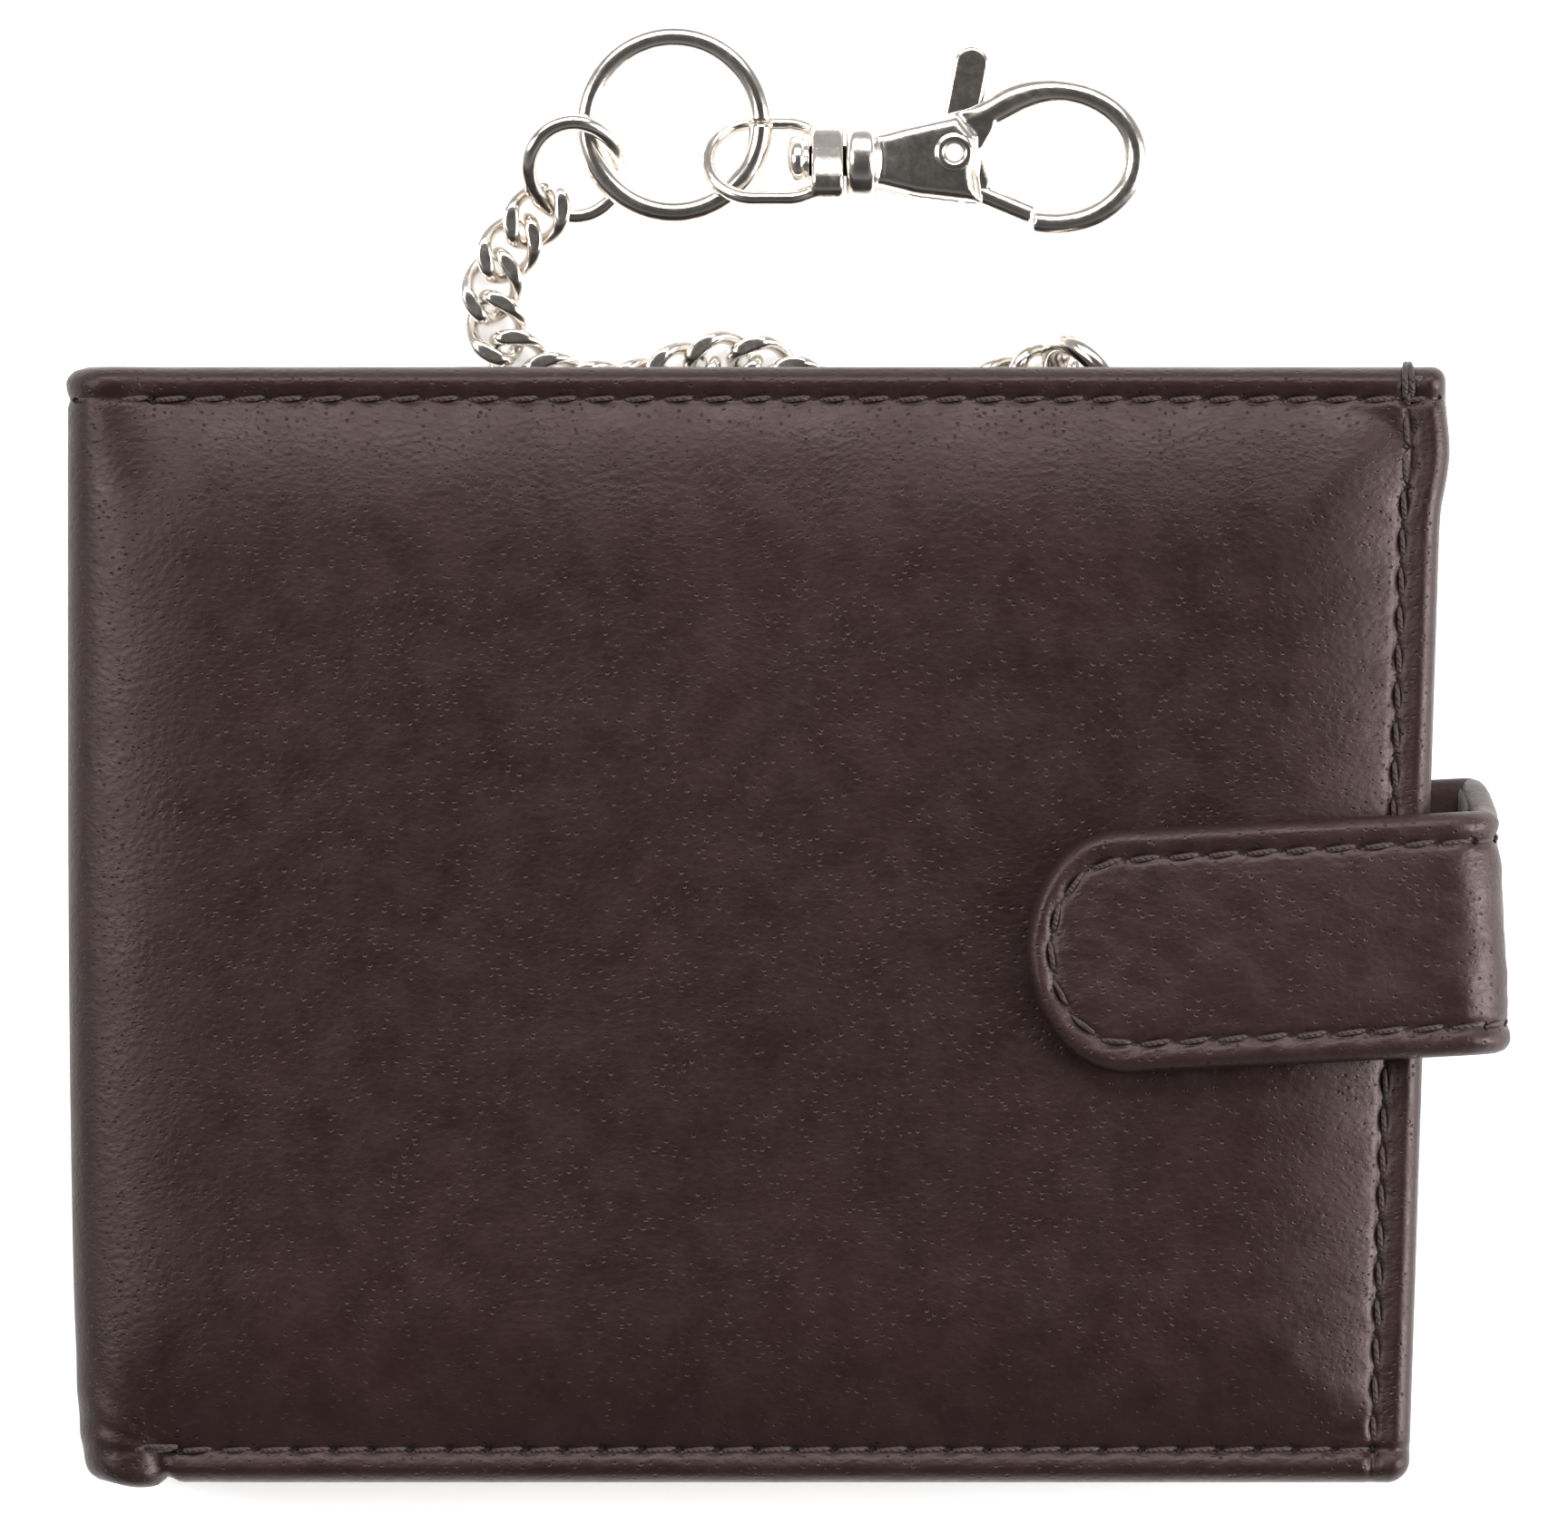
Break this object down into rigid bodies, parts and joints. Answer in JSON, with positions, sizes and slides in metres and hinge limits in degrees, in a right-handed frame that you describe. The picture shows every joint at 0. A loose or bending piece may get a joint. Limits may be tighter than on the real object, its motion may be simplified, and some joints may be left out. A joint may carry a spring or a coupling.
{
  "type": "chain wallet",
  "caption": "Dark brown leather bifold wallet with a snap strap, a short curb chain, rings and a swivel lobster clasp.",
  "frame": {"origin": "middle of the flat part of the back, which lies on the table", "axes": "+Z out of the front cover, +Y from the bottom edge to the top edge and the chain, +X from the spine to the open edge"},
  "size_m": [0.1202, 0.1224, 0.0233],
  "materials": {
    "outer_leather": "dark brown nappa leather, fine grain, semi-matt with a soft sheen",
    "pocket_leather": "dark brown thin leather",
    "lining_fabric": "dark brown woven lining",
    "strap_suede": "brown flesh side, matt",
    "thread": "dark red-brown waxed thread",
    "board": "pressed fibre board",
    "padding": "thin foam",
    "window_film": "clear film",
    "chain_nickel": "nickel plated steel, ground flats",
    "ring_nickel": "nickel plated steel wire",
    "clasp_nickel": "nickel plated zinc casting",
    "spring_steel": "spring steel",
    "snap_metal": "nickel plated brass"
  },
  "bodies": {
    "back_half": {"back_cover": "outer_leather", "back_stiffener": "board", "note_pocket": "lining_fabric", "back_lining": "lining_fabric", "card_pocket_4": "pocket_leather", "card_pocket_5": "pocket_leather", "back_thread": "thread", "chain_eyelet": "ring_nickel", "strap_anchor": "outer_leather"},
    "spine": {"spine_leather": "outer_leather", "spine_lining": "lining_fabric"},
    "front_half": {"front_cover": "outer_leather", "front_padding": "padding", "front_lining": "lining_fabric", "card_pocket_1": "pocket_leather", "card_pocket_2": "pocket_leather", "card_pocket_3": "pocket_leather", "id_window": "window_film", "front_thread": "thread", "snap_stud": "snap_metal", "snap_post": "snap_metal"},
    "strap_loop": {"strap_loop_leather": "outer_leather", "strap_loop_lining": "strap_suede"},
    "strap_tab": {"strap_tab_leather": "outer_leather", "strap_tab_lining": "strap_suede", "strap_thread": "thread", "snap_socket": "snap_metal", "snap_cap": "snap_metal"},
    "wallet_ring": {"wallet_end_ring": "ring_nickel"},
    "chain_a": {"chain_links_a": "chain_nickel"},
    "chain_b": {"chain_links_b": "chain_nickel"},
    "chain_c": {"chain_links_c": "chain_nickel"},
    "chain_d": {"chain_links_d": "chain_nickel"},
    "hook_ring": {"hook_end_ring": "ring_nickel"},
    "key_ring_body": {"key_ring": "ring_nickel"},
    "eye": {"swivel_eye": "clasp_nickel"},
    "clasp": {"swivel_pin": "clasp_nickel", "hook_body": "clasp_nickel", "hook_rivet": "clasp_nickel", "gate_spring": "spring_steel"},
    "gate": {"gate_lever": "clasp_nickel"}
  },
  "joints": [
    {"name": "spine_fold", "type": "hinge", "parent": "back_half", "child": "spine", "pos_m": [-0.0556, 0, 0.004], "axis": [0, -1, 0], "range_deg": [0, 90]},
    {"name": "cover_fold", "type": "hinge", "parent": "spine", "child": "front_half", "pos_m": [-0.0556, 0, 0.016], "axis": [0, -1, 0], "range_deg": [0, 90]},
    {"name": "strap_swing", "type": "hinge", "parent": "back_half", "child": "strap_loop", "pos_m": [0.0609, -0.00055, 0.0036], "axis": [-0.0523, 0.9986, 0], "range_deg": [0, 90], "deforming": ["strap_loop_leather", "strap_loop_lining"]},
    {"name": "strap_lift", "type": "hinge", "parent": "strap_loop", "child": "strap_tab", "pos_m": [0.0609, -0.00055, 0.02155], "axis": [-0.0523, 0.9986, 0], "range_deg": [0, 90], "deforming": ["strap_tab_leather", "strap_tab_lining", "strap_thread", "snap_socket", "snap_cap"]},
    {"name": "ring_swing", "type": "hinge", "parent": "back_half", "child": "wallet_ring", "pos_m": [0.0301, 0.0429, 0.0045], "axis": [0, 0, 1], "range_deg": [-10, 2]},
    {"name": "chain_a_swing", "type": "hinge", "parent": "wallet_ring", "child": "chain_a", "pos_m": [0.0252, 0.0471, 0.002], "axis": [0, 0, 1], "range_deg": [-5, 3]},
    {"name": "chain_b_swing", "type": "hinge", "parent": "chain_a", "child": "chain_b", "pos_m": [0.0124, 0.0431, 0.00166], "axis": [0, 0, -1], "range_deg": [-5, 20]},
    {"name": "chain_c_swing", "type": "hinge", "parent": "chain_b", "child": "chain_c", "pos_m": [-0.0046, 0.0471, 0.00166], "axis": [0, 0, -1], "range_deg": [-3, 12]},
    {"name": "chain_d_swing", "type": "hinge", "parent": "chain_c", "child": "chain_d", "pos_m": [-0.021, 0.0488, 0.00166], "axis": [0, 0, 1], "range_deg": [-2, 20]},
    {"name": "hook_ring_swing", "type": "hinge", "parent": "chain_d", "child": "hook_ring", "pos_m": [-0.0178, 0.061, 0.00216], "axis": [0, 0, 1], "range_deg": [-8, 8]},
    {"name": "key_ring_turn", "type": "hinge", "parent": "hook_ring", "child": "key_ring_body", "pos_m": [-0.007, 0.0675, 0.0034], "axis": [0, 0, -1], "range_deg": [-25, 15]},
    {"name": "eye_slide", "type": "hinge", "parent": "key_ring_body", "child": "eye", "pos_m": [-0.007, 0.0675, 0.0034], "axis": [0, 0, 1], "range_deg": [-10, 60]},
    {"name": "clasp_swivel", "type": "hinge", "parent": "eye", "child": "clasp", "pos_m": [0, 0.0644, 0.0036], "axis": [1, 0, 0], "continuous": true},
    {"name": "gate_press", "type": "hinge", "parent": "clasp", "child": "gate", "pos_m": [0.0167, 0.065, 0.0036], "axis": [0, 0, 1], "range_deg": [0, 20], "stiffness_Nm_per_rad": 0.002, "springref_deg": -20.05, "deforming": ["gate_spring"]}
  ],
  "couplings": [
    {"joint": "cover_fold", "follows": "spine_fold", "ratio": 1},
    {"joint": "strap_lift", "follows": "strap_swing", "ratio": 1}
  ]
}
